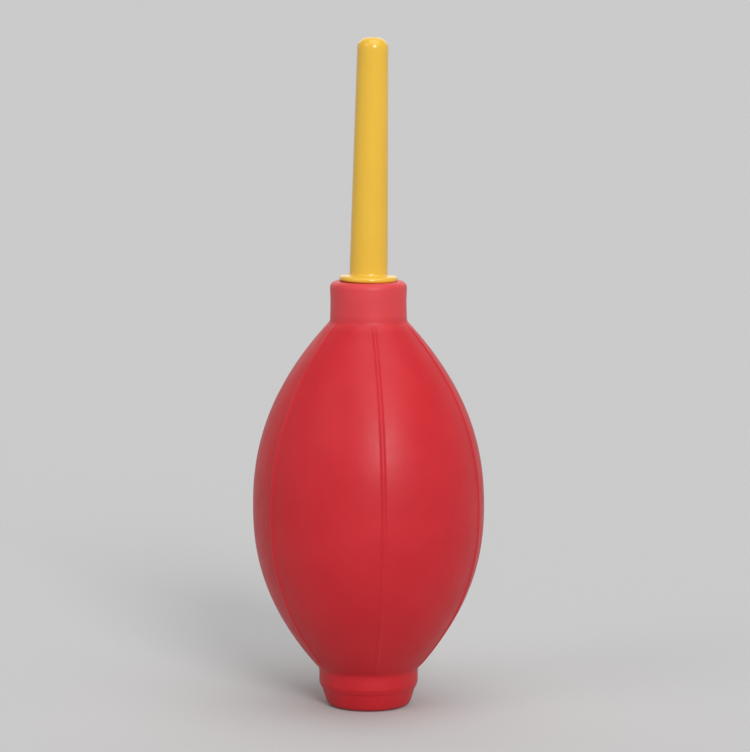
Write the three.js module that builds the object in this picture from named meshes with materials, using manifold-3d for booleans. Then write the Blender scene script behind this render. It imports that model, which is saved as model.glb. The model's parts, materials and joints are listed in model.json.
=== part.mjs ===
// A dust blower: a hollow ribbed rubber bulb standing on a round foot, a plastic nozzle pushed into
// the bulb's collar, and a one-way air valve in the foot that lets air in when the bulb springs back.
// Millimetres, +Z up, z = 0 on the face it stands on, the bulb's own axis is the Z axis.
import * as THREE from "three";
import { mergeVertices } from "three/addons/utils/BufferGeometryUtils.js";
import Module from "manifold-3d";

// ---------------------------------------------------------------- driving dimensions
const GAP = 0.3; // clearance between neighbouring pieces
const DEGREE = Math.PI / 180;

const BULB = {
  radius: 27.5, // at its widest, between the ribs
  widestZ: 48,
  upperReach: 53, // height above the widest level at which the outline would meet the axis
  lowerReach: 50.2, // the same, below the widest level
  fullness: 2.23, // exponent of the outline: 2 is a parabola, more is squarer
  wall: 2.8,
};
const RIB = {
  firstAngle: 7.4 * DEGREE, // the front rib, on the mould's parting line; the back rib is opposite
  sideAngle: 63 * DEGREE, // from the front or back rib to its neighbours
  width: 1.6,
  height: 0.3,
  fadeOut: 0.7, // height over which it runs out at each end of the belly
};
const COLLAR = {
  radius: 9.1,
  baseZ: 92.3,
  topZ: 101.7,
  edgeRound: 1.5,
  waist: 0.12, // how far it draws in at mid height
  bore: 5.9,
};
const FOOT = {
  radius: 11.8,
  topZ: 9.05,
  taperZ: 5.6, // straight sided above this height
  stepZ: 4.4, // a fine ring runs round the foot here
  step: 0.2,
  lowRadius: 10.3,
  edgeRound: 1.9,
  recessRadius: 6.2,
  recessDepth: 2.2,
  bore: 4.9,
  floorZ: 8.6, // bottom of the air chamber
};
// Where the six ribs stand round the bulb, from the front one, and the front one again to close the ring.
const RIB_PLACES = [
  0,
  RIB.sideAngle,
  Math.PI - RIB.sideAngle,
  Math.PI,
  Math.PI + RIB.sideAngle,
  2 * Math.PI - RIB.sideAngle,
  2 * Math.PI,
];
const PRESS = { halfWidth: 10, lowZ: 24, highZ: 72 }; // the two patches of wall that a hand pushes in

const NOZZLE = {
  tipZ: 158.9,
  tipRadius: 3.66,
  tipRound: 2.85,
  rootRadius: 4.5,
  rootFillet: 0.6,
  flangeRadius: 6.9,
  flangeThickness: 1,
  flangeRound: 0.5,
  plugRadius: 4.7,
  plugLength: 11.6,
  plugChamfer: 0.5,
  barbRadius: 5.5,
  barbEdge: 0.3,
  barbPitch: 3.2,
  barbCount: 3,
  firstBarb: 0.6, // in pitches below the flange
  jetRadius: 0.7,
  jetLength: 6,
  boreRadius: 2.4,
  lean: 1.05 * DEGREE, // it sits a little crooked in the soft collar
};

const VALVE = {
  lipZ: 0.8, // the bush stops short of the face that the foot stands on
  lipRadius: 5.8,
  chamfer: 0.3,
  barrelRadius: 4.5,
  headRadius: 5.5,
  headThickness: 0.8,
  mouthRadius: 3.4,
  ledgeZ: 5,
  seatZ: 6.2,
  seatHeight: 0.4, // the disc closes on a raised rim round the port
  seatWidth: 0.4,
  portRadius: 1.9,
  chamberRadius: 3.7,
};
const DISC = { radius: 3.3, thickness: 0.8, bossRadius: 1, bossHeight: 0.6, chamfer: 0.2 };
const SPRING = { radius: 1.6, wire: 0.15, turns: 2.25 };
const CAGE = {
  wall: 0.75,
  plate: 0.9,
  edgeRound: 0.4,
  ventRadius: 0.7,
  ventCircle: 3,
  ventCount: 6,
};
const GAUZE = { radius: 3.1, thickness: 0.4, hole: 0.5, pitch: 0.85 };
const SNAP_RING = { radius: 2.75, wire: 0.33 };

// Stations round one rib's share of the bulb: two each side of the crest, the rest between the ribs.
const STATIONS_PER_RIB = 12;
const RIB_STATIONS = 2;
const BELLY_RINGS = 16;
const CHAMBER_RINGS = 13;

// ---------------------------------------------------------------- materials
const material = (color, roughness, metalness = 0) =>
  new THREE.MeshStandardMaterial({ color, roughness, metalness });
const redRubber = material(0xc9373f, 0.6);
const yellowPlastic = material(0xe6bd55, 0.38);
const brass = material(0xc9a45a, 0.32, 1);
const blackSilicone = material(0x2a2a2c, 0.55);
const whitePlastic = material(0xe2e0d8, 0.45);
const steel = material(0xb9bcc0, 0.3, 1);

// ---------------------------------------------------------------- geometry helpers
const wasm = await Module();
wasm.setup();

function toSolid(geometry) {
  const bare = geometry.clone();
  bare.deleteAttribute("normal");
  bare.deleteAttribute("uv");
  const merged = mergeVertices(bare, 1e-4);
  return new wasm.Manifold(
    new wasm.Mesh({
      numProp: 3,
      vertProperties: merged.attributes.position.array,
      triVerts: new Uint32Array(merged.index.array),
    }),
  );
}

function toGeometry(solid) {
  const { vertProperties, triVerts } = solid.getMesh();
  const geometry = new THREE.BufferGeometry();
  geometry.setAttribute("position", new THREE.BufferAttribute(vertProperties, 3));
  geometry.setIndex(new THREE.BufferAttribute(triVerts, 1));
  const facets = geometry.toNonIndexed();
  facets.computeVertexNormals();
  return facets;
}

const point = (radius, z) => new THREE.Vector2(radius, z);

// Points of a quarter turn or less round (radius, z), angles in degrees from outward, + is up.
function arc(radius, z, round, from, to, steps = 4) {
  return Array.from({ length: steps + 1 }, (_, i) => {
    const angle = (from + ((to - from) * i) / steps) * DEGREE;
    return point(radius + round * Math.cos(angle), z + round * Math.sin(angle));
  });
}

// A solid of revolution about Z. Angle 0 faces -Y, and angles grow towards +X.
function revolve(profile, segments) {
  return new THREE.LatheGeometry(profile, segments).rotateX(Math.PI / 2);
}

function named(name, geometry, surface) {
  const mesh = new THREE.Mesh(geometry, surface);
  mesh.name = name;
  return mesh;
}

// ---------------------------------------------------------------- the bulb
// Radius of the bulb's outline at height z. An inset shrinks it evenly, for the inner face of the wall.
function bellyRadius(z, inset = 0) {
  const reach = (z > BULB.widestZ ? BULB.upperReach : BULB.lowerReach) - inset;
  const share = Math.abs(z - BULB.widestZ) / reach;
  return (BULB.radius - inset) * (1 - share ** BULB.fullness);
}

function bellyPoints(fromZ, toZ, count, inset) {
  return Array.from({ length: count }, (_, i) => {
    const z = fromZ + ((toZ - fromZ) * i) / (count - 1);
    return point(bellyRadius(z, inset), z);
  });
}

function footPoints() {
  const taper = (FOOT.radius - FOOT.lowRadius) / (FOOT.taperZ - FOOT.edgeRound);
  const stepRadius = FOOT.radius - taper * (FOOT.taperZ - FOOT.stepZ);
  return [
    point(FOOT.recessRadius, 0),
    ...arc(FOOT.lowRadius - FOOT.edgeRound, FOOT.edgeRound, FOOT.edgeRound, -90, -20),
    point(stepRadius - FOOT.step, FOOT.stepZ - FOOT.step),
    point(stepRadius, FOOT.stepZ),
    point(FOOT.radius, FOOT.taperZ),
    point(FOOT.radius, FOOT.topZ),
  ];
}

function collarPoints() {
  const shoulder = COLLAR.radius - COLLAR.edgeRound;
  const middle = (COLLAR.baseZ + COLLAR.topZ) / 2;
  return [
    point(COLLAR.radius, COLLAR.baseZ),
    point(COLLAR.radius - COLLAR.waist, middle),
    ...arc(shoulder, COLLAR.topZ - COLLAR.edgeRound, COLLAR.edgeRound, 0, 90),
    point(COLLAR.bore, COLLAR.topZ),
  ];
}

// Angle of one station round the bulb, kept at the rib's own width whatever the radius.
function stationAngle(station, radius) {
  const rib = Math.floor(station / STATIONS_PER_RIB);
  const sector = RIB_PLACES[rib + 1] - RIB_PLACES[rib];
  const place = station % STATIONS_PER_RIB;
  const edge = RIB.width / 2 / radius;
  const start = RIB.firstAngle + RIB_PLACES[rib];
  const toNext = STATIONS_PER_RIB - place;
  if (place <= RIB_STATIONS) return start + (edge * place) / RIB_STATIONS;
  if (toNext <= RIB_STATIONS) return start + sector - (edge * toNext) / RIB_STATIONS;
  const between = (place - RIB_STATIONS) / (STATIONS_PER_RIB - 2 * RIB_STATIONS);
  return start + edge + (sector - 2 * edge) * between;
}

// How far a rib lifts the surface at one station: a parabola across the rib's width.
function ribLift(station) {
  const place = station % STATIONS_PER_RIB;
  const away = Math.min(place, STATIONS_PER_RIB - place) / RIB_STATIONS;
  return away < 1 ? RIB.height * (1 - away * away) : 0;
}

// The whole rubber moulding in one revolved solid, with the ribs raised on its belly.
function bulbMoulding() {
  const ribLow = FOOT.topZ + RIB.fadeOut;
  const ribHigh = COLLAR.baseZ - RIB.fadeOut;
  const ribbed = bellyPoints(ribLow, ribHigh, BELLY_RINGS, 0);
  const profile = [
    ...footPoints(),
    ...ribbed,
    ...collarPoints(),
    ...bellyPoints(ribHigh, FOOT.floorZ, CHAMBER_RINGS, BULB.wall),
    point(FOOT.bore, FOOT.floorZ),
    point(FOOT.bore, FOOT.recessDepth),
    point(FOOT.recessRadius, FOOT.recessDepth),
    point(FOOT.recessRadius, 0),
  ];
  const stations = (RIB_PLACES.length - 1) * STATIONS_PER_RIB;
  const geometry = revolve(profile, stations);
  const position = geometry.attributes.position;
  for (let i = 0; i < position.count; i++) {
    const ring = profile[i % profile.length];
    const station = Math.floor(i / profile.length) % stations;
    const angle = stationAngle(station, ring.x);
    const radius = ring.x + (ribbed.includes(ring) ? ribLift(station) : 0);
    position.setXY(i, radius * Math.sin(angle), -radius * Math.cos(angle));
  }
  return toSolid(geometry);
}

// A block through one side of the bulb, square to the plane of the first rib.
function pressBlock(side, margin) {
  const height = PRESS.highZ - PRESS.lowZ + 2 * margin;
  const reach = 2 * BULB.radius; // well clear of the wall
  const block = new THREE.BoxGeometry(reach, 2 * (PRESS.halfWidth + margin), height);
  block.translate((side * reach) / 2, 0, (PRESS.lowZ + PRESS.highZ) / 2);
  return toSolid(block.rotateZ(RIB.firstAngle));
}

function bulbMeshes() {
  const whole = bulbMoulding();
  const sides = { bulb_wall_right: 1, bulb_wall_left: -1 };
  let rest = whole;
  const walls = Object.entries(sides).map(([name, side]) => {
    rest = rest.subtract(pressBlock(side, GAP));
    return named(name, toGeometry(whole.intersect(pressBlock(side, 0))), redRubber);
  });
  return [named("bulb", toGeometry(rest), redRubber), ...walls];
}

// ---------------------------------------------------------------- the nozzle
// Each barb has a square shoulder above and slopes in below, so it goes in more easily than out.
function barbPoints(flangeZ) {
  return Array.from({ length: NOZZLE.barbCount }, (_, i) => {
    const z = flangeZ - NOZZLE.barbPitch * (i + NOZZLE.firstBarb);
    return [
      point(NOZZLE.plugRadius, z),
      point(NOZZLE.barbRadius, z),
      point(NOZZLE.barbRadius, z - NOZZLE.barbEdge),
      point(NOZZLE.plugRadius, z - (2 / 3) * NOZZLE.barbPitch),
    ];
  }).flat();
}

function nozzleMesh() {
  const seatZ = COLLAR.topZ + GAP;
  const flangeTop = seatZ + NOZZLE.flangeThickness;
  const rim = NOZZLE.flangeRadius - NOZZLE.flangeRound;
  const plugEnd = seatZ - NOZZLE.plugLength;
  const domeRadius = NOZZLE.tipRadius - NOZZLE.tipRound;
  const domeZ = NOZZLE.tipZ - NOZZLE.tipRound;
  const profile = [
    point(NOZZLE.jetRadius, NOZZLE.tipZ - NOZZLE.jetLength),
    point(NOZZLE.jetRadius, NOZZLE.tipZ),
    ...arc(domeRadius, domeZ, NOZZLE.tipRound, 90, 0, 5),
    point(NOZZLE.rootRadius, flangeTop + NOZZLE.rootFillet),
    point(NOZZLE.rootRadius + NOZZLE.rootFillet, flangeTop),
    ...arc(rim, flangeTop - NOZZLE.flangeRound, NOZZLE.flangeRound, 90, 0, 3),
    ...arc(rim, seatZ + NOZZLE.flangeRound, NOZZLE.flangeRound, 0, -90, 3),
    point(NOZZLE.plugRadius, seatZ),
    ...barbPoints(seatZ),
    point(NOZZLE.plugRadius, plugEnd + NOZZLE.plugChamfer),
    point(NOZZLE.plugRadius - NOZZLE.plugChamfer, plugEnd),
    point(NOZZLE.boreRadius, plugEnd),
    point(NOZZLE.boreRadius, flangeTop),
    point(NOZZLE.jetRadius, NOZZLE.tipZ - NOZZLE.jetLength),
  ].reverse();
  const mesh = named("nozzle", revolve(profile, 32), yellowPlastic);
  mesh.geometry.translate(0, 0, -COLLAR.topZ);
  mesh.position.z = COLLAR.topZ;
  mesh.rotation.y = NOZZLE.lean;
  return mesh;
}

// ---------------------------------------------------------------- the air valve in the foot
const headZ = FOOT.floorZ + GAP; // underside of the bush's head, on the air chamber's floor
const headTop = headZ + VALVE.headThickness;
const discZ = VALVE.seatZ + GAP;
const discTop = discZ + DISC.thickness;
const cageCeiling = headTop + GAP;

// A spool-shaped bush: the foot's rubber is gripped between its lip and its head.
function valveBodyMesh() {
  const profile = [
    point(VALVE.mouthRadius, VALVE.lipZ),
    point(VALVE.lipRadius - VALVE.chamfer, VALVE.lipZ),
    point(VALVE.lipRadius, VALVE.lipZ + VALVE.chamfer),
    point(VALVE.lipRadius, FOOT.recessDepth - GAP),
    point(VALVE.barrelRadius, FOOT.recessDepth - GAP),
    point(VALVE.barrelRadius, headZ),
    point(VALVE.headRadius, headZ),
    point(VALVE.headRadius, headTop),
    point(VALVE.chamberRadius, headTop),
    point(VALVE.chamberRadius, VALVE.seatZ - VALVE.seatHeight),
    point(VALVE.portRadius + 2 * VALVE.seatWidth, VALVE.seatZ - VALVE.seatHeight),
    point(VALVE.portRadius + VALVE.seatWidth, VALVE.seatZ),
    point(VALVE.portRadius, VALVE.seatZ),
    point(VALVE.portRadius, VALVE.ledgeZ),
    point(VALVE.mouthRadius, VALVE.ledgeZ),
    point(VALVE.mouthRadius, VALVE.lipZ),
  ];
  return named("valve_body", revolve(profile, 32), brass);
}

function valveDiscMesh() {
  const bossTop = discTop + DISC.bossHeight;
  const profile = [
    point(0, discZ),
    point(DISC.radius - DISC.chamfer, discZ),
    point(DISC.radius, discZ + DISC.chamfer),
    point(DISC.radius, discTop),
    point(DISC.bossRadius, discTop),
    point(DISC.bossRadius, bossTop - DISC.chamfer),
    point(DISC.bossRadius - DISC.chamfer, bossTop),
    point(0, bossTop),
  ];
  return named("valve_disc", revolve(profile, 28), blackSilicone);
}

// The coil's centre line: a helix about Z.
class Coil extends THREE.Curve {
  getPoint(t, target = new THREE.Vector3()) {
    const low = discTop + GAP + SPRING.wire;
    const high = cageCeiling - GAP - SPRING.wire;
    const angle = 2 * Math.PI * SPRING.turns * t;
    return target.set(
      SPRING.radius * Math.cos(angle),
      SPRING.radius * Math.sin(angle),
      low + (high - low) * t,
    );
  }
}

function valveSpringMesh() {
  const wire = new THREE.Shape().absarc(0, 0, SPRING.wire, 0, 2 * Math.PI);
  const coil = new THREE.ExtrudeGeometry(wire, {
    extrudePath: new Coil(),
    steps: 45,
    curveSegments: 3,
  });
  return named("valve_spring", coil, steel);
}

// A cap over the bush's head, with a ring of vents that let the air into the bulb.
function valveCageMesh() {
  const inner = VALVE.headRadius + GAP;
  const outer = inner + CAGE.wall;
  const top = cageCeiling + CAGE.plate;
  const cap = revolve(
    [
      point(inner, headZ),
      point(outer, headZ),
      ...arc(outer - CAGE.edgeRound, top - CAGE.edgeRound, CAGE.edgeRound, 0, 90, 2),
      point(0, top),
      point(0, cageCeiling),
      point(inner, cageCeiling),
      point(inner, headZ),
    ],
    32,
  );
  let pierced = toSolid(cap);
  for (let i = 0; i < CAGE.ventCount; i++) {
    const angle = (2 * Math.PI * i) / CAGE.ventCount;
    const vent = new THREE.CylinderGeometry(CAGE.ventRadius, CAGE.ventRadius, 3 * CAGE.plate, 12);
    vent.rotateX(Math.PI / 2);
    vent.translate(CAGE.ventCircle * Math.cos(angle), CAGE.ventCircle * Math.sin(angle), top);
    pierced = pierced.subtract(toSolid(vent));
  }
  return named("valve_cage", toGeometry(pierced), whitePlastic);
}

// A disc of square-meshed gauze that keeps dust out of the valve.
function filterGauzeMesh() {
  const middle = VALVE.ledgeZ - GAP - GAUZE.thickness / 2;
  const disc = new THREE.CylinderGeometry(GAUZE.radius, GAUZE.radius, GAUZE.thickness, 32);
  const reach = Math.floor(GAUZE.radius / GAUZE.pitch);
  let gauze = toSolid(disc.rotateX(Math.PI / 2));
  for (let row = -reach; row <= reach; row++) {
    for (let column = -reach; column <= reach; column++) {
      const x = column * GAUZE.pitch;
      const y = row * GAUZE.pitch;
      if (Math.hypot(x, y) + GAUZE.hole > GAUZE.radius) continue;
      const hole = new THREE.BoxGeometry(GAUZE.hole, GAUZE.hole, 2 * GAUZE.thickness);
      gauze = gauze.subtract(toSolid(hole.translate(x, y, 0)));
    }
  }
  return named("filter_gauze", toGeometry(gauze).translate(0, 0, middle), steel);
}

function gauzeRingMesh() {
  const z = VALVE.ledgeZ - GAUZE.thickness - 2 * GAP - SNAP_RING.wire;
  const ring = new THREE.TorusGeometry(SNAP_RING.radius, SNAP_RING.wire, 8, 28);
  return named("gauze_ring", ring.translate(0, 0, z), steel);
}

// ---------------------------------------------------------------- the whole blower
const blower = new THREE.Group();
blower.name = "dust_blower";
blower.add(
  ...bulbMeshes(),
  nozzleMesh(),
  valveBodyMesh(),
  valveDiscMesh(),
  valveSpringMesh(),
  valveCageMesh(),
  filterGauzeMesh(),
  gauzeRingMesh(),
);

export default blower;
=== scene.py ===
import json
import math

import bpy
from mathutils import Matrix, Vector


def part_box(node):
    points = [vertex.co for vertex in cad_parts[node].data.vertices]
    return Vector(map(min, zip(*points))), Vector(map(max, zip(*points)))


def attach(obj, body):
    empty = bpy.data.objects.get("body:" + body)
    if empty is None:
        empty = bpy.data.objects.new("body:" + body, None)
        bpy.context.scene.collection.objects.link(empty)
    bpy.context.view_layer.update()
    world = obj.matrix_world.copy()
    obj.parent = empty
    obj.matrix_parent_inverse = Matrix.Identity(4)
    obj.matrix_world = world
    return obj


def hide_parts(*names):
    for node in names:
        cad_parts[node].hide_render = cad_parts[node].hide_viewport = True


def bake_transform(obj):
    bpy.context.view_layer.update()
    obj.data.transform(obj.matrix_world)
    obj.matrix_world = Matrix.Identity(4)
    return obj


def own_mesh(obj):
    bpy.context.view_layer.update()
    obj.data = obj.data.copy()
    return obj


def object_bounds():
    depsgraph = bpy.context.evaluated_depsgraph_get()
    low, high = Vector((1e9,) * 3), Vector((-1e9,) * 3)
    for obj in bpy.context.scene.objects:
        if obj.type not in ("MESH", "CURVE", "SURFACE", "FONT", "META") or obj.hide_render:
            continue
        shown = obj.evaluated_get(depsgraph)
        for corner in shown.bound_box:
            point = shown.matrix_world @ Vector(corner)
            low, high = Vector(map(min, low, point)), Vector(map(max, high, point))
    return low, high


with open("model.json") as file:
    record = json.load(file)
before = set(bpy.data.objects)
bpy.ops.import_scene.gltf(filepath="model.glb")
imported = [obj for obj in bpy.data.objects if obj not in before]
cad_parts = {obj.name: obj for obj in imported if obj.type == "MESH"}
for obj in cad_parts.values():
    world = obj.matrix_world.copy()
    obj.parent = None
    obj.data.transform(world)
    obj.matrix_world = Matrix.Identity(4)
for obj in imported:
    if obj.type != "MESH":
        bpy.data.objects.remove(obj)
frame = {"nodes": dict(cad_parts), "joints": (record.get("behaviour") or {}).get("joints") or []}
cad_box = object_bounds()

# A dust blower: a ribbed rubber bulb on a round foot, a push-in nozzle, and an air valve in the foot.
# Metres, +Z up. The frame gives the size of each piece's box; MM turns the finer details' millimetres
# into metres.

MM = 0.001

# ---------------------------------------------------------------- sizes taken from the frame
joints = {joint["name"]: joint for joint in frame["joints"]}
nozzle_low, nozzle_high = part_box("nozzle")
disc_low, disc_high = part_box("valve_disc")
body_low, body_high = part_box("valve_body")
gauze_low, gauze_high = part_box("filter_gauze")
ring_low, ring_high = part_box("gauze_ring")
spring_low, spring_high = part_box("valve_spring")

COLLAR_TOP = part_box("bulb")[1].z
BELLY_RADIUS = (cad_box[1].x - cad_box[0].x) / 2
NOZZLE_AXIS = Vector(joints["nozzle_pull"]["axis"])
PRESS_DIRECTION = -Vector(joints["squeeze_right"]["axis"])  # outwards through the right-hand patch
FIRST_RIB = math.atan2(PRESS_DIRECTION.y, PRESS_DIRECTION.x)  # turned from -Y towards +X

# ---------------------------------------------------------------- the bulb's own details
WIDEST_Z = 48 * MM
UPPER_REACH = 53 * MM
LOWER_REACH = 50.2 * MM
FULLNESS = 2.23
WALL = 2.8 * MM
COLLAR_BASE = 92.3 * MM
COLLAR_RADIUS = 9.1 * MM
COLLAR_WAIST = 0.12 * MM
COLLAR_ROUND = 1.5 * MM
COLLAR_BORE = 5.9 * MM
FOOT_TOP = 9.05 * MM
FOOT_RADIUS = 11.8 * MM
FOOT_TAPER_Z = 5.6 * MM
FOOT_STEP_Z = 4.4 * MM
FOOT_STEP = 0.2 * MM
FOOT_LOW_RADIUS = 10.3 * MM
FOOT_ROUND = 1.9 * MM
RECESS_RADIUS = 6.2 * MM
RECESS_DEPTH = 2.2 * MM
FOOT_BORE = 4.9 * MM
CHAMBER_FLOOR = 8.6 * MM

RIB_SIDE_ANGLE = math.radians(63)  # from the front or back rib to its neighbours
RIB_PLACES = (
    0,
    RIB_SIDE_ANGLE,
    math.pi - RIB_SIDE_ANGLE,
    math.pi,
    math.pi + RIB_SIDE_ANGLE,
    2 * math.pi - RIB_SIDE_ANGLE,
    2 * math.pi,
)
RIB_HEIGHT = 0.3 * MM
RIB_HALF_WIDTH = 0.8 * MM
RIB_ZONE = 1.2 * MM  # half the strip round a crest that is meshed finely
RIB_FADE = 1.5 * MM
RIB_STATIONS = 10  # fine stations each side of a crest
BELLY_RINGS = 84  # rows of points up the outside of the belly
INNER_RINGS = 24  # and down its inside
GAP_STATIONS = 16  # stations between two ribs' strips
CREASE = 0.25 * MM  # reach of the smallest fillets in the mould
FOOT_FILLET = 0.8 * MM  # the softer one where the belly runs into the foot

# ---------------------------------------------------------------- the nozzle's own details
# Heights are measured from the collar's top, along the nozzle's own axis.
TIP_RADIUS = 3.66 * MM
TIP_ROUND = 2.6 * MM
ROOT_RADIUS = 4.5 * MM
ROOT_FILLET = 0.9 * MM
ROOT_WAIST = 0.02 * MM
FLANGE_TOP = 1.3 * MM
FLANGE_ROUND = 0.7 * MM
FLANGE_LOWER_ROUND = 0.45 * MM
FLANGE_SEAT = 0.03 * MM
PLUG_RADIUS = 4.7 * MM
PLUG_CHAMFER = 0.5 * MM
BARB_RADIUS = 5.5 * MM
BARB_EDGE = 0.3 * MM
BARB_PITCH = 3.2 * MM
BARB_SLOPE = BARB_PITCH * 2 / 3
BARB_ROUND = 0.12 * MM
BARB_COUNT = 3
TOP_SHOULDER = -1.62 * MM
JET_RADIUS = 0.7 * MM
JET_ROUND = 0.15 * MM
JET_LENGTH = 6 * MM
BORE_RADIUS = 2.4 * MM

# ---------------------------------------------------------------- the valve's own details
BARREL_RADIUS = 4.5 * MM
HEAD_RADIUS = 5.5 * MM
MOUTH_RADIUS = 3.4 * MM
PORT_RADIUS = 1.9 * MM
SPRING_WELL_RADIUS = 3.7 * MM
BUSH_GAP = 0.3 * MM  # between the bush's lip and head and the foot that they grip
LEDGE_Z = 5 * MM
SEAT_Z = 6.2 * MM
SEAT_HEIGHT = 0.4 * MM
SEAT_WIDTH = 0.4 * MM
BUSH_ROUND = 0.2 * MM
DISC_ROUND = 0.15 * MM
BOSS_RADIUS = 1 * MM
BOSS_HEIGHT = 0.6 * MM
SPRING_WIRE_RADIUS = 0.15 * MM
SPRING_TURNS = 2.25
GAUZE_PITCH = 0.44 * MM
GAUZE_WIRE_RADIUS = 0.085 * MM
GAUZE_WAVE = 0.09 * MM  # how far a wire rises and falls over those that it crosses
RING_OPENING = math.radians(16)

SAME_POINT = 0.001 * MM  # points of an outline closer than this are one point


def arc(radius, z, size, start, stop, steps=6):
    """Points round (radius, z); angles in degrees, 0 outward and 90 up."""
    turns = [math.radians(start + (stop - start) * i / steps) for i in range(steps + 1)]
    return [(radius + size * math.cos(t), z + size * math.sin(t)) for t in turns]


def rounded(corners, size, steps=4):
    """The open outline through corners, with each inner corner cut by a small quadratic curve."""
    outline = [corners[0]]
    for before, corner, after in zip(corners, corners[1:], corners[2:]):
        middle = Vector(corner)
        back, ahead = Vector(before) - middle, Vector(after) - middle
        reach = min(size, back.length / 2, ahead.length / 2)
        start = middle + back.normalized() * reach
        stop = middle + ahead.normalized() * reach
        for i in range(steps + 1):
            t = i / steps
            outline.append(tuple(start * (1 - t) ** 2 + middle * 2 * t * (1 - t) + stop * t**2))
    return outline + [corners[-1]]


def without_repeats(outline):
    """The closed outline without the points that lie on the one before them."""
    kept = [outline[-1]]
    for point in outline:
        if math.dist(point, kept[-1]) > SAME_POINT:
            kept.append(point)
    return kept[1:]


def belly_radius(z, inset=0.0):
    """The radius of the belly at a height, or of its inside, where inset is the wall's thickness."""
    reach = (UPPER_REACH if z > WIDEST_Z else LOWER_REACH) - inset
    return (BELLY_RADIUS - inset) * (1 - (abs(z - WIDEST_Z) / reach) ** FULLNESS)


def belly_points(start, stop, count, inset=0.0):
    heights = [start + (stop - start) * i / (count - 1) for i in range(count)]
    return [(belly_radius(z, inset), z) for z in heights]


def bulb_outline():
    """The bulb's section, from the recess in the foot round the outside and back down the inside."""
    taper = (FOOT_RADIUS - FOOT_LOW_RADIUS) / (FOOT_TAPER_Z - FOOT_ROUND)
    step_radius = FOOT_RADIUS - taper * (FOOT_TAPER_Z - FOOT_STEP_Z)
    heel = arc(FOOT_LOW_RADIUS - FOOT_ROUND, FOOT_ROUND, FOOT_ROUND, -90, -20)
    ring = [
        heel[-1],
        (step_radius - FOOT_STEP, FOOT_STEP_Z - FOOT_STEP),
        (step_radius, FOOT_STEP_Z),
        (FOOT_RADIUS, FOOT_TAPER_Z),
        (FOOT_RADIUS, (FOOT_TAPER_Z + FOOT_TOP) / 2),
    ]
    belly_start = FOOT_TOP + 1.5 * FOOT_FILLET
    belly_stop = COLLAR_BASE - 4 * CREASE
    waist = [ring[-1], (FOOT_RADIUS, FOOT_TOP), (belly_radius(belly_start), belly_start)]
    collar = [
        (belly_radius(COLLAR_BASE - 3 * CREASE), COLLAR_BASE - 3 * CREASE),
        (COLLAR_RADIUS, COLLAR_BASE),
        (COLLAR_RADIUS - COLLAR_WAIST, (COLLAR_BASE + COLLAR_TOP) / 2),
    ]
    mouth = [
        (COLLAR_RADIUS - COLLAR_ROUND, COLLAR_TOP),
        (COLLAR_BORE, COLLAR_TOP),
        (COLLAR_BORE, COLLAR_BASE),
    ]
    bottom = [
        (belly_radius(CHAMBER_FLOOR, WALL), CHAMBER_FLOOR),
        (FOOT_BORE, CHAMBER_FLOOR),
        (FOOT_BORE, RECESS_DEPTH),
        (RECESS_RADIUS, RECESS_DEPTH),
        (RECESS_RADIUS, 0),
        (FOOT_LOW_RADIUS - FOOT_ROUND, 0),
    ]
    outline = heel[:-1]
    outline += rounded(ring, CREASE)
    outline += rounded(waist, FOOT_FILLET)[1:-1]
    outline += belly_points(belly_start, belly_stop, BELLY_RINGS)
    outline += rounded(collar, 2 * CREASE)
    outline += arc(COLLAR_RADIUS - COLLAR_ROUND, COLLAR_TOP - COLLAR_ROUND, COLLAR_ROUND, 0, 90)
    outline += rounded(mouth, CREASE)[1:]
    outline += belly_points(COLLAR_BASE - CREASE, CHAMBER_FLOOR + CREASE, INNER_RINGS, WALL)
    outline += rounded(bottom, CREASE)[:-1]
    return without_repeats(outline)


def rib_lift(distance, z):
    """How far a rib raises the belly, at a distance in metres from its crest."""
    ends = min(z - FOOT_TOP, COLLAR_BASE - z) / RIB_FADE
    if ends <= 0:
        return 0.0
    share = min(abs(distance) / RIB_HALF_WIDTH, 1)
    return RIB_HEIGHT * (1 + math.cos(math.pi * share)) / 2 * min(ends, 1)


def stations():
    """Where the bulb's meridians run. By a rib, as (crest's angle, distance from it in metres, None), and
    between two ribs, as (crest's angle, None, (angle to the next crest, share of the way there))."""
    found = []
    for here, following in zip(RIB_PLACES, RIB_PLACES[1:]):
        crest, next_crest = FIRST_RIB + here, FIRST_RIB + following
        strip = [RIB_ZONE * i / RIB_STATIONS for i in range(RIB_STATIONS + 1)]
        found += [(crest, distance, None) for distance in strip]
        found += [(crest, None, (following - here, i / GAP_STATIONS)) for i in range(1, GAP_STATIONS)]
        found += [(next_crest, -distance, None) for distance in reversed(strip[1:])]
    return found


def bulb_point(station, radius, z, ribbed):
    crest, distance, between = station
    if distance is None:
        sector, share = between
        edge = RIB_ZONE / radius
        angle = crest + edge + (sector - 2 * edge) * share
        distance = RIB_ZONE
    else:
        angle = crest + distance / radius
    lifted = radius + (rib_lift(distance, z) if ribbed else 0)
    return (lifted * math.sin(angle), -lifted * math.cos(angle), z)


def new_mesh(name, vertices, faces, material, smooth=True):
    mesh = bpy.data.meshes.new(name)
    mesh.from_pydata(vertices, [], faces)
    mesh.update()
    mesh.polygons.foreach_set("use_smooth", [smooth] * len(mesh.polygons))
    mesh.materials.append(material)
    piece = bpy.data.objects.new(name, mesh)
    bpy.context.scene.collection.objects.link(piece)
    return piece


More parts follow.
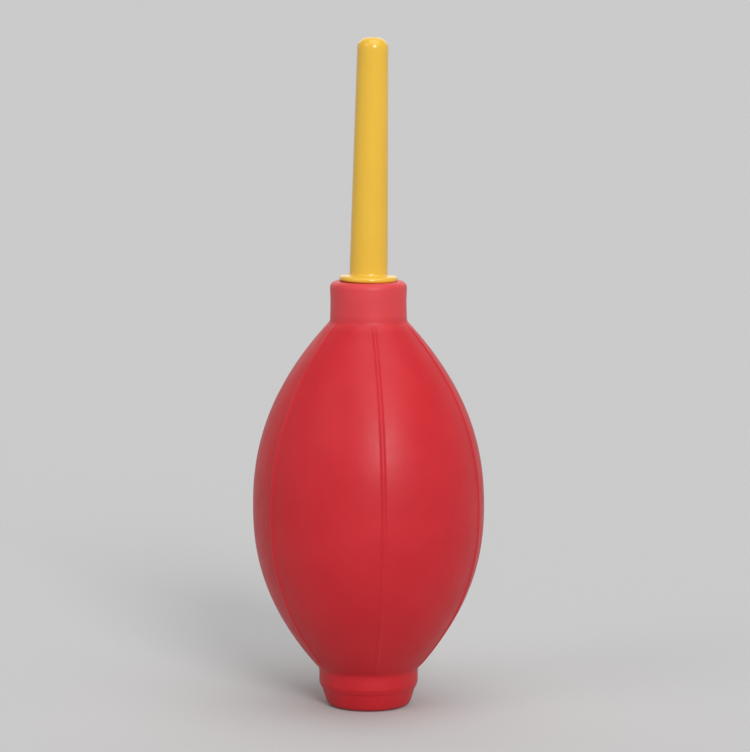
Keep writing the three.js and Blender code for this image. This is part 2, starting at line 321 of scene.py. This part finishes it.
def lathe(name, outline, material, segments=96, closed=True):
    """A solid of revolution about Z. An outline that starts and ends on the axis is capped there."""
    vertices, faces = [], []
    outline = without_repeats(outline)
    rows = []
    for radius, z in outline:
        if radius < SAME_POINT:
            rows.append([len(vertices)] * segments)
            vertices.append((0, 0, z))
            continue
        rows.append(list(range(len(vertices), len(vertices) + segments)))
        turns = [2 * math.pi * i / segments for i in range(segments)]
        vertices += [(radius * math.sin(t), -radius * math.cos(t), z) for t in turns]
    pairs = list(zip(rows, rows[1:])) + ([(rows[-1], rows[0])] if closed else [])
    for low, high in pairs:
        for i in range(segments):
            j = (i + 1) % segments
            corners = (low[i], low[j], high[j], high[i])
            faces.append(list(dict.fromkeys(corners)))  # on the axis, two corners are one
    return new_mesh(name, vertices, faces, material)


def tube_shape(path, radius, sides):
    """The vertices and faces of a round wire along path, a list of points, with flat ends."""
    vertices, faces = [], []
    last = len(path) - 1
    for i, centre in enumerate(path):
        along = (path[min(i + 1, last)] - path[max(i - 1, 0)]).normalized()
        side = along.cross(Vector((0, 0, 1))).normalized()
        up = side.cross(along)
        turns = [2 * math.pi * k / sides for k in range(sides)]
        vertices += [centre + (side * math.cos(t) + up * math.sin(t)) * radius for t in turns]
    for i in range(last):
        low, high = i * sides, (i + 1) * sides
        for k in range(sides):
            m = (k + 1) % sides
            faces.append((low + k, high + k, high + m, low + m))
    faces.append(tuple(range(sides)))
    faces.append(tuple(reversed(range(last * sides, (last + 1) * sides))))
    return vertices, faces


def tube(name, path, radius, material, sides=8):
    vertices, faces = tube_shape(path, radius, sides)
    return new_mesh(name, vertices, faces, material)


# ---------------------------------------------------------------- materials
def shader_of(material):
    return material.node_tree.nodes["Principled BSDF"]


def new_material(name, **settings):
    material = bpy.data.materials.new(name)
    material.use_nodes = True
    for socket, value in settings.items():
        shader_of(material).inputs[socket.replace("_", " ")].default_value = value
    return material


def add_node(material, kind, **settings):
    """A new shader node. Each setting is for the socket of that name or, without one, for the property."""
    node = material.node_tree.nodes.new("ShaderNode" + kind)
    for key, value in settings.items():
        socket = key.replace("_", " ")
        if socket in node.inputs:
            node.inputs[socket].default_value = value
        else:
            setattr(node, key, value)
    return node


def link(material, source, target):
    material.node_tree.links.new(source, target)


def noise(material, scale, detail=2.0, stretch=None):
    """A noise texture in the part's own coordinates; scale is in features a metre."""
    place = add_node(material, "TexCoord")
    texture = add_node(material, "TexNoise", Scale=scale, Detail=detail)
    source = place.outputs["Object"]
    if stretch:
        mapping = add_node(material, "Mapping", Scale=stretch)
        link(material, source, mapping.inputs["Vector"])
        source = mapping.outputs["Vector"]
    link(material, source, texture.inputs["Vector"])
    return texture.outputs["Fac"]


def spread(material, source, low, high, start=0.3, stop=0.7):
    """Maps a texture's middle range to low..high."""
    node = add_node(material, "MapRange")
    for socket, value in zip(("From Min", "From Max", "To Min", "To Max"), (start, stop, low, high)):
        node.inputs[socket].default_value = value
    link(material, source, node.inputs["Value"])
    return node.outputs["Result"]


def blend_colours(material, share, *colours):
    """Mixes two colours, each a triple or another node's output, by share."""
    node = add_node(material, "Mix", data_type="RGBA")
    link(material, share, node.inputs["Factor"])
    colour_sockets = [socket for socket in node.inputs if socket.type == "RGBA"]
    for socket, colour in zip(colour_sockets, colours):
        if isinstance(colour, tuple):
            socket.default_value = (*colour, 1)
        else:
            link(material, colour, socket)
    return next(socket for socket in node.outputs if socket.type == "RGBA")


def bump(material, height, depth, before=None):
    node = add_node(material, "Bump", Strength=1.0, Distance=depth)
    link(material, height, node.inputs["Height"])
    if before:
        link(material, before, node.inputs["Normal"])
    return node.outputs["Normal"]


def finish_shader(material, colour=None, roughness=None, normal=None):
    shader = shader_of(material)
    for source, socket in ((colour, "Base Color"), (roughness, "Roughness"), (normal, "Normal")):
        if source is not None:
            link(material, source, shader.inputs[socket])
    return material


def red_rubber():
    """Rubber painted paler in the collar, a painted highlight for the brighter light that the collar
    catches.
    """
    rubber = new_material("red_rubber", Specular_IOR_Level=0.28)
    mottle = spread(rubber, noise(rubber, 90, 3), 0, 1)
    belly = blend_colours(rubber, mottle, (0.46, 0.0105, 0.0175), (0.49, 0.0145, 0.0215))
    # the paler collar colour is a painted highlight, faded in by height over the collar's base
    collar_painted_highlight = blend_colours(rubber, mottle, (0.57, 0.044, 0.052), (0.60, 0.050, 0.058))
    place = add_node(rubber, "TexCoord")
    height = add_node(rubber, "SeparateXYZ")
    link(rubber, place.outputs["Object"], height.inputs["Vector"])
    share = spread(rubber, height.outputs["Z"], 0, 1, COLLAR_BASE - 2 * MM, COLLAR_BASE + 2 * MM)
    colour = blend_colours(rubber, share, belly, collar_painted_highlight)
    roughness = spread(rubber, noise(rubber, 260, 3), 0.40, 0.48)
    grain = bump(rubber, noise(rubber, 3200, 2), 0.012 * MM)
    skin = bump(rubber, noise(rubber, 420, 3), 0.03 * MM, grain)
    return finish_shader(rubber, colour, roughness, skin)


def yellow_plastic():
    plastic = new_material("yellow_plastic", Specular_IOR_Level=0.5)
    tone = spread(plastic, noise(plastic, 60, 2), 0, 1)
    colour = blend_colours(plastic, tone, (0.685, 0.40, 0.030), (0.715, 0.43, 0.036))
    roughness = spread(plastic, noise(plastic, 500, 2), 0.16, 0.22)
    ripple = bump(plastic, noise(plastic, 350, 2, (1, 1, 0.15)), 0.012 * MM)
    return finish_shader(plastic, colour, roughness, ripple)


def turned_brass():
    brass = new_material("turned_brass", Metallic=1.0)
    tone = spread(brass, noise(brass, 700, 3), 0, 1)
    colour = blend_colours(brass, tone, (0.62, 0.42, 0.16), (0.74, 0.53, 0.24))
    place = add_node(brass, "TexCoord")
    lines = add_node(brass, "TexWave", wave_type="RINGS", rings_direction="Z", Scale=1600, Distortion=0.6)
    link(brass, place.outputs["Object"], lines.inputs["Vector"])
    roughness = spread(brass, noise(brass, 900, 3), 0.22, 0.40)
    cut = bump(brass, lines.outputs["Fac"], 0.004 * MM)
    return finish_shader(brass, colour, roughness, cut)


def bright_wire():
    wire = new_material("bright_wire", Metallic=1.0)
    tone = spread(wire, noise(wire, 1500, 2), 0, 1)
    colour = blend_colours(wire, tone, (0.55, 0.56, 0.58), (0.68, 0.69, 0.70))
    roughness = spread(wire, noise(wire, 2500, 2), 0.20, 0.36)
    draw = bump(wire, noise(wire, 5000, 2), 0.003 * MM)
    return finish_shader(wire, colour, roughness, draw)


def black_silicone():
    silicone = new_material("black_silicone")
    tone = spread(silicone, noise(silicone, 800, 2), 0, 1)
    colour = blend_colours(silicone, tone, (0.016, 0.016, 0.018), (0.028, 0.028, 0.030))
    roughness = spread(silicone, noise(silicone, 1200, 2), 0.42, 0.55)
    skin = bump(silicone, noise(silicone, 2600, 2), 0.006 * MM)
    return finish_shader(silicone, colour, roughness, skin)


def white_plastic():
    plastic = new_material("white_plastic")
    tone = spread(plastic, noise(plastic, 500, 2), 0, 1)
    colour = blend_colours(plastic, tone, (0.70, 0.68, 0.61), (0.78, 0.76, 0.70))
    roughness = spread(plastic, noise(plastic, 900, 2), 0.40, 0.52)
    skin = bump(plastic, noise(plastic, 2200, 2), 0.006 * MM)
    return finish_shader(plastic, colour, roughness, skin)


def pale_floor():
    card = new_material("pale_floor", Specular_IOR_Level=0.0)
    tone = spread(card, noise(card, 900, 2), 0, 1)
    colour = blend_colours(card, tone, (0.484, 0.484, 0.484), (0.492, 0.492, 0.492))
    roughness = spread(card, noise(card, 40, 2), 0.85, 0.95)
    return finish_shader(card, colour, roughness)


# ---------------------------------------------------------------- the pieces
def build_bulb(material):
    """The bulb as two half shells that meet on the crests of the front and back ribs, where the mould
    parts. Both take their normals from the unbroken whole."""
    outline = bulb_outline()
    ring_count = len(outline)
    ribbed = [
        FOOT_TOP < z < COLLAR_BASE and abs(radius - belly_radius(z)) < CREASE
        for radius, z in outline
    ]
    round_it = stations()
    count = len(round_it)
    grid = [
        bulb_point(station, radius, z, on_belly)
        for station in round_it
        for (radius, z), on_belly in zip(outline, ribbed)
    ]

    def shell(name, columns, capped):
        """Joins the meridians in columns; capped closes its first and last one with a flat face."""
        vertices = []
        for column in columns:
            first_point = column % count * ring_count
            vertices += grid[first_point : first_point + ring_count]
        faces = []
        for low in range(0, (len(columns) - 1) * ring_count, ring_count):
            next_low = low + ring_count
            for k in range(ring_count):
                m = (k + 1) % ring_count
                faces.append((low + k, next_low + k, next_low + m, low + m))
        if capped:
            faces.append(tuple(range(ring_count)))
            faces.append(tuple(reversed(range(len(vertices) - ring_count, len(vertices)))))
        return new_mesh(name, vertices, faces, material)

    whole = shell("bulb_whole", range(count + 1), capped=False)
    normals = [vertex.vector.copy() for vertex in whole.data.vertex_normals]
    # The whole's first and last columns lie together, so the true normal there is the sum of both.
    for k in range(ring_count):
        seam = (normals[k] + normals[count * ring_count + k]).normalized()
        normals[k] = normals[count * ring_count + k] = seam
    bpy.data.objects.remove(whole)

    halves = []
    for name, start in (("bulb_right_half", 0), ("bulb_left_half", count // 2)):
        half = shell(name, range(start, start + count // 2 + 1), capped=True)
        first = start * ring_count
        half.data.normals_split_custom_set_from_vertices(normals[first : first + len(half.data.vertices)])
        halves.append(half)
    return halves


def barbed_plug(plug_end):
    """The nozzle's plug from its lower end up to the flange, each barb square above and sloped below."""
    plug = [(PLUG_RADIUS - PLUG_CHAMFER, plug_end), (PLUG_RADIUS, plug_end + PLUG_CHAMFER)]
    for i in reversed(range(BARB_COUNT)):
        shoulder = TOP_SHOULDER - BARB_PITCH * i
        plug += [
            (PLUG_RADIUS, shoulder - BARB_SLOPE),
            (BARB_RADIUS, shoulder - BARB_EDGE),
            (BARB_RADIUS, shoulder),
            (PLUG_RADIUS, shoulder),
        ]
    return plug + [(PLUG_RADIUS, FLANGE_SEAT)]


def build_nozzle(material):
    """Built upright from the collar's top, then leaned over as it sits in the collar."""
    tip = (nozzle_high.z - COLLAR_TOP) / NOZZLE_AXIS.z
    plug_end = (nozzle_low.z - COLLAR_TOP) / NOZZLE_AXIS.z
    flange_radius = (nozzle_high.y - nozzle_low.y) / 2
    rim = flange_radius - FLANGE_ROUND
    lower_rim = flange_radius - FLANGE_LOWER_ROUND
    waist = FLANGE_TOP + 2 * MM
    shank_low = FLANGE_TOP + 3 * MM
    shank_high = tip - TIP_ROUND - 1 * MM
    bore_foot = plug_end + 0.3 * MM
    root = [(rim, FLANGE_TOP), (ROOT_RADIUS, FLANGE_TOP), (ROOT_RADIUS - ROOT_WAIST, waist)]
    jet = [(JET_RADIUS + 2 * JET_ROUND, tip), (JET_RADIUS, tip), (JET_RADIUS, tip - JET_LENGTH)]

    outline = [(BORE_RADIUS, plug_end)]
    outline += rounded(barbed_plug(plug_end), BARB_ROUND, 3)
    outline += arc(lower_rim, FLANGE_SEAT + FLANGE_LOWER_ROUND, FLANGE_LOWER_ROUND, -90, 0, 4)
    outline += arc(rim, FLANGE_TOP - FLANGE_ROUND, FLANGE_ROUND, 0, 90)
    outline += rounded(root, ROOT_FILLET, 6)[1:]
    steps = 24
    for i in range(steps + 1):
        share = i / steps
        z = shank_low + (shank_high - shank_low) * share
        outline.append((ROOT_RADIUS + (TIP_RADIUS - ROOT_RADIUS) * share, z))
    outline += arc(TIP_RADIUS - TIP_ROUND, tip - TIP_ROUND, TIP_ROUND, 0, 90, 10)
    outline += rounded(jet, JET_ROUND)[1:]
    outline += [(BORE_RADIUS, tip - 2 * JET_LENGTH), (BORE_RADIUS, bore_foot)]

    nozzle = lathe("nozzle_moulding", outline, material, segments=128)
    lean = Vector((0, 0, 1)).rotation_difference(NOZZLE_AXIS).to_matrix().to_4x4()
    lean.translation = (0, 0, COLLAR_TOP)
    nozzle.data.transform(lean)
    return nozzle


def build_valve_body(material):
    """A spool: lip below, head above, the seat half way up its bore. The outline starts and stops on the
    flat underside, so that every corner is rounded."""
    lip_radius = (body_high.x - body_low.x) / 2
    lip_top = RECESS_DEPTH - BUSH_GAP
    head_low = CHAMBER_FLOOR + BUSH_GAP
    seat_foot = SEAT_Z - SEAT_HEIGHT
    start, stop = MOUTH_RADIUS + 0.8 * MM, MOUTH_RADIUS + 0.7 * MM
    outline = [
        (start, body_low.z),
        (lip_radius, body_low.z),
        (lip_radius, lip_top),
        (BARREL_RADIUS, lip_top),
        (BARREL_RADIUS, head_low),
        (HEAD_RADIUS, head_low),
        (HEAD_RADIUS, body_high.z),
        (SPRING_WELL_RADIUS, body_high.z),
        (SPRING_WELL_RADIUS, seat_foot),
        (PORT_RADIUS + 2 * SEAT_WIDTH, seat_foot),
        (PORT_RADIUS + SEAT_WIDTH, SEAT_Z),
        (PORT_RADIUS, SEAT_Z),
        (PORT_RADIUS, LEDGE_Z),
        (MOUTH_RADIUS, LEDGE_Z),
        (MOUTH_RADIUS, body_low.z),
        (stop, body_low.z),
    ]
    return lathe("valve_bush", rounded(outline, BUSH_ROUND, 3), material)


def build_valve_disc(material):
    """A flat disc with a boss that keeps the spring centred."""
    radius = (disc_high.x - disc_low.x) / 2
    top = disc_high.z - BOSS_HEIGHT
    outline = [
        (0, disc_low.z),
        (radius, disc_low.z),
        (radius, top),
        (BOSS_RADIUS, top),
        (BOSS_RADIUS, disc_high.z),
        (0, disc_high.z),
    ]
    return lathe("valve_flap", rounded(outline, DISC_ROUND, 3), material, segments=64, closed=False)


def build_valve_spring(material):
    coil_radius = (spring_high.x - spring_low.x) / 2 - SPRING_WIRE_RADIUS
    low, high = spring_low.z + SPRING_WIRE_RADIUS, spring_high.z - SPRING_WIRE_RADIUS
    steps = 72
    path = []
    for i in range(steps + 1):
        turn = 2 * math.pi * SPRING_TURNS * i / steps
        height = low + (high - low) * i / steps
        path.append(Vector((coil_radius * math.cos(turn), coil_radius * math.sin(turn), height)))
    return tube("valve_coil", path, SPRING_WIRE_RADIUS, material)


def gauze_strand(row, across, radius, middle):
    """The centre line of one wire of the gauze, or None where it would be too short to weave."""
    offset = row * GAUZE_PITCH
    half = math.sqrt(max(radius**2 - offset**2, 0)) - GAUZE_WIRE_RADIUS
    if half < GAUZE_PITCH:
        return None
    sign = 1 if (row + across) % 2 else -1
    steps = 6 * max(2, round(half / GAUZE_PITCH))
    path = []
    for i in range(steps + 1):
        along = -half + 2 * half * i / steps
        height = middle + sign * GAUZE_WAVE * math.cos(math.pi * along / GAUZE_PITCH)
        path.append(Vector((along, offset, height) if across else (offset, along, height)))
    return path


def build_gauze(material):
    """Plain-woven wire cloth cut to a disc: each wire waves over and under those that cross it."""
    radius = (gauze_high.x - gauze_low.x) / 2
    middle = (gauze_high.z + gauze_low.z) / 2
    reach = int(radius / GAUZE_PITCH)
    vertices, faces = [], []
    for across in (0, 1):
        for row in range(-reach, reach + 1):
            path = gauze_strand(row, across, radius, middle)
            if path is None:
                continue
            strand_vertices, strand_faces = tube_shape(path, GAUZE_WIRE_RADIUS, sides=6)
            base = len(vertices)
            vertices += strand_vertices
            faces += [[base + k for k in face] for face in strand_faces]
    return new_mesh("woven_gauze", vertices, faces, material)


def build_gauze_ring(material):
    """A wire snap ring with a gap, so that it can be sprung into the mouth."""
    wire_radius = (ring_high.z - ring_low.z) / 2
    radius = (ring_high.x - ring_low.x) / 2 - wire_radius
    middle = (ring_high.z + ring_low.z) / 2
    steps = 64
    path = []
    for i in range(steps + 1):
        turn = RING_OPENING / 2 + (2 * math.pi - RING_OPENING) * i / steps
        path.append(Vector((radius * math.cos(turn), radius * math.sin(turn), middle)))
    return tube("snap_ring", path, wire_radius, material, sides=12)


# ---------------------------------------------------------------- camera, light and floor
CAMERA_PLACE = (0, -0.760, 0.1714)  # in front and a little above
CAMERA_TARGET = (1.54 * MM, 0, 79.1 * MM)  # the point in the middle of the picture
CAMERA_LENS = 154.7  # focal length in millimetres
BACKDROP = 0.597  # grey of the surroundings near the horizon
DOME = 0.18  # and of the dimmer dome overhead
BACKDROP_TOP = math.radians(20)  # elevation where the backdrop starts to fade into the dome
DOME_BASE = math.radians(35)
FLOOR_REACH = 60  # metres each way, so that no edge shows


def add_camera():
    camera = bpy.data.objects.new("camera", bpy.data.cameras.new("camera"))
    bpy.context.scene.collection.objects.link(camera)
    camera.location = CAMERA_PLACE
    camera.rotation_euler = (Vector(CAMERA_TARGET) - camera.location).to_track_quat("-Z", "Y").to_euler()
    camera.data.lens = CAMERA_LENS
    camera.data.clip_start, camera.data.clip_end = 0.01, 200
    bpy.context.scene.camera = camera


def add_sun(name, strength, azimuth, elevation, spread_angle):
    """Light from an azimuth (0 from the camera's side, + to the right) and elevation, in degrees."""
    lamp = bpy.data.lights.new(name, "SUN")
    lamp.energy = strength
    lamp.angle = math.radians(spread_angle)
    sun = bpy.data.objects.new(name, lamp)
    turn, rise = math.radians(azimuth), math.radians(elevation)
    level = math.cos(rise)
    source = Vector((math.sin(turn) * level, -math.cos(turn) * level, math.sin(rise)))
    sun.rotation_euler = (-source).to_track_quat("-Z", "Y").to_euler()
    bpy.context.scene.collection.objects.link(sun)


def add_studio():
    world = bpy.data.worlds.new("studio")
    world.use_nodes = True
    tree = world.node_tree
    direction = tree.nodes.new("ShaderNodeTexCoord")
    height = tree.nodes.new("ShaderNodeSeparateXYZ")
    ramp = tree.nodes.new("ShaderNodeMapRange")
    ramp.interpolation_type = "SMOOTHSTEP"
    limits = (math.sin(BACKDROP_TOP), math.sin(DOME_BASE), BACKDROP, DOME)
    for socket, value in zip(("From Min", "From Max", "To Min", "To Max"), limits):
        ramp.inputs[socket].default_value = value
    tree.links.new(direction.outputs["Generated"], height.inputs["Vector"])
    tree.links.new(height.outputs["Z"], ramp.inputs["Value"])
    tree.links.new(ramp.outputs["Result"], tree.nodes["Background"].inputs["Color"])
    bpy.context.scene.world = world
    bpy.context.scene.view_settings.view_transform = "Standard"
    add_sun("top", 1.45, 28, 70, 60)
    add_sun("front", 1.80, 17, 26, 20)
    add_sun("left", 0.35, -55, 35, 30)
    add_sun("back", 0.90, 180, 45, 80)
    signs = ((-1, -1), (1, -1), (1, 1), (-1, 1))
    corners = [(FLOOR_REACH * x, FLOOR_REACH * y, 0) for x, y in signs]
    new_mesh("floor", corners, [(0, 1, 2, 3)], pale_floor(), smooth=False)


# ---------------------------------------------------------------- the scene
add_camera()
add_studio()
rubber, plastic, brass = red_rubber(), yellow_plastic(), turned_brass()
silicone, wire, cage_plastic = black_silicone(), bright_wire(), white_plastic()

right_half, left_half = build_bulb(rubber)
for half, wall, side in ((right_half, "wall_right", 1), (left_half, "wall_left", -1)):
    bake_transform(half)
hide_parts("bulb", "bulb_wall_right")
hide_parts("bulb_wall_left")

PIECES = (
    (build_nozzle(plastic), "nozzle", "nozzle", "yellow_plastic"),
    (build_valve_body(brass), "bulb", "valve_body", "brass"),
    (build_valve_disc(silicone), "valve_disc", "valve_disc", "black_silicone"),
    (build_valve_spring(wire), "bulb", "valve_spring", "steel"),
    (build_gauze(wire), "bulb", "filter_gauze", "steel"),
    (build_gauze_ring(wire), "bulb", "gauze_ring", "steel"),
)
for piece, body, node, slot in PIECES:
    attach(piece, body)
    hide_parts(node)
cage = frame["nodes"]["valve_cage"]
cage.data.materials.clear()
cage.data.materials.append(cage_plastic)

coil = bpy.data.objects["valve_coil"]
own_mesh(coil)
